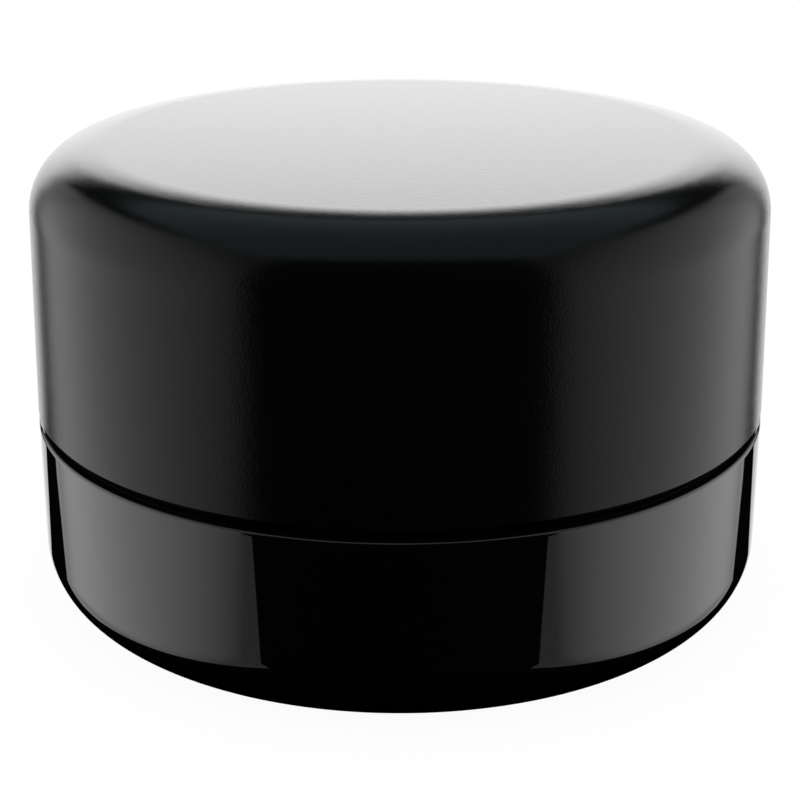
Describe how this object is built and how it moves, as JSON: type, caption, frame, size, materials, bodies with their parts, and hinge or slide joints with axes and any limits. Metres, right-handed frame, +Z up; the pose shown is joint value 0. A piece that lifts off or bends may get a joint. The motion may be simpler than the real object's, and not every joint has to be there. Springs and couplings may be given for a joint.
{
  "type": "cream jar",
  "caption": "Low round cosmetic cream jar: glossy black double-wall jar with an inner cup and a screw-on matte black lid with a large rounded top edge.",
  "frame": {"origin": "centre of the jar's base, on the surface it stands on", "axes": "+Z up along the jar's axis, through the middle of the lid; +X and +Y across, interchangeable because the outside is round"},
  "size_m": [0.06, 0.06, 0.0378],
  "materials": {
    "jar_gloss_black": "high gloss black",
    "cup_black": "satin black",
    "disc_natural": "natural translucent satin",
    "liner_foam": "white fine-celled foam",
    "insert_black": "satin black",
    "lid_matte_black": "matte black with a fine moulded grain"
  },
  "bodies": {
    "jar": {"outer_jar": "jar_gloss_black", "inner_cup": "cup_black"},
    "disc": {"sealing_disc": "disc_natural"},
    "lid": {"lid_liner": "liner_foam", "lid_insert": "insert_black", "lid_shell": "lid_matte_black"}
  },
  "joints": [
    {"name": "lid_lift", "type": "slide", "parent": "jar", "child": "disc", "axis": [0, 0, 1], "range_m": [0, 0.01376]},
    {"name": "lid_turn", "type": "hinge", "parent": "disc", "child": "lid", "pos_m": [0, 0, 0.0164], "axis": [0, 0, 1], "range_deg": [0, 1170]}
  ],
  "couplings": [
    {"joint": "lid_lift", "follows": "lid_turn", "m_per_rad": 0.0006737}
  ]
}
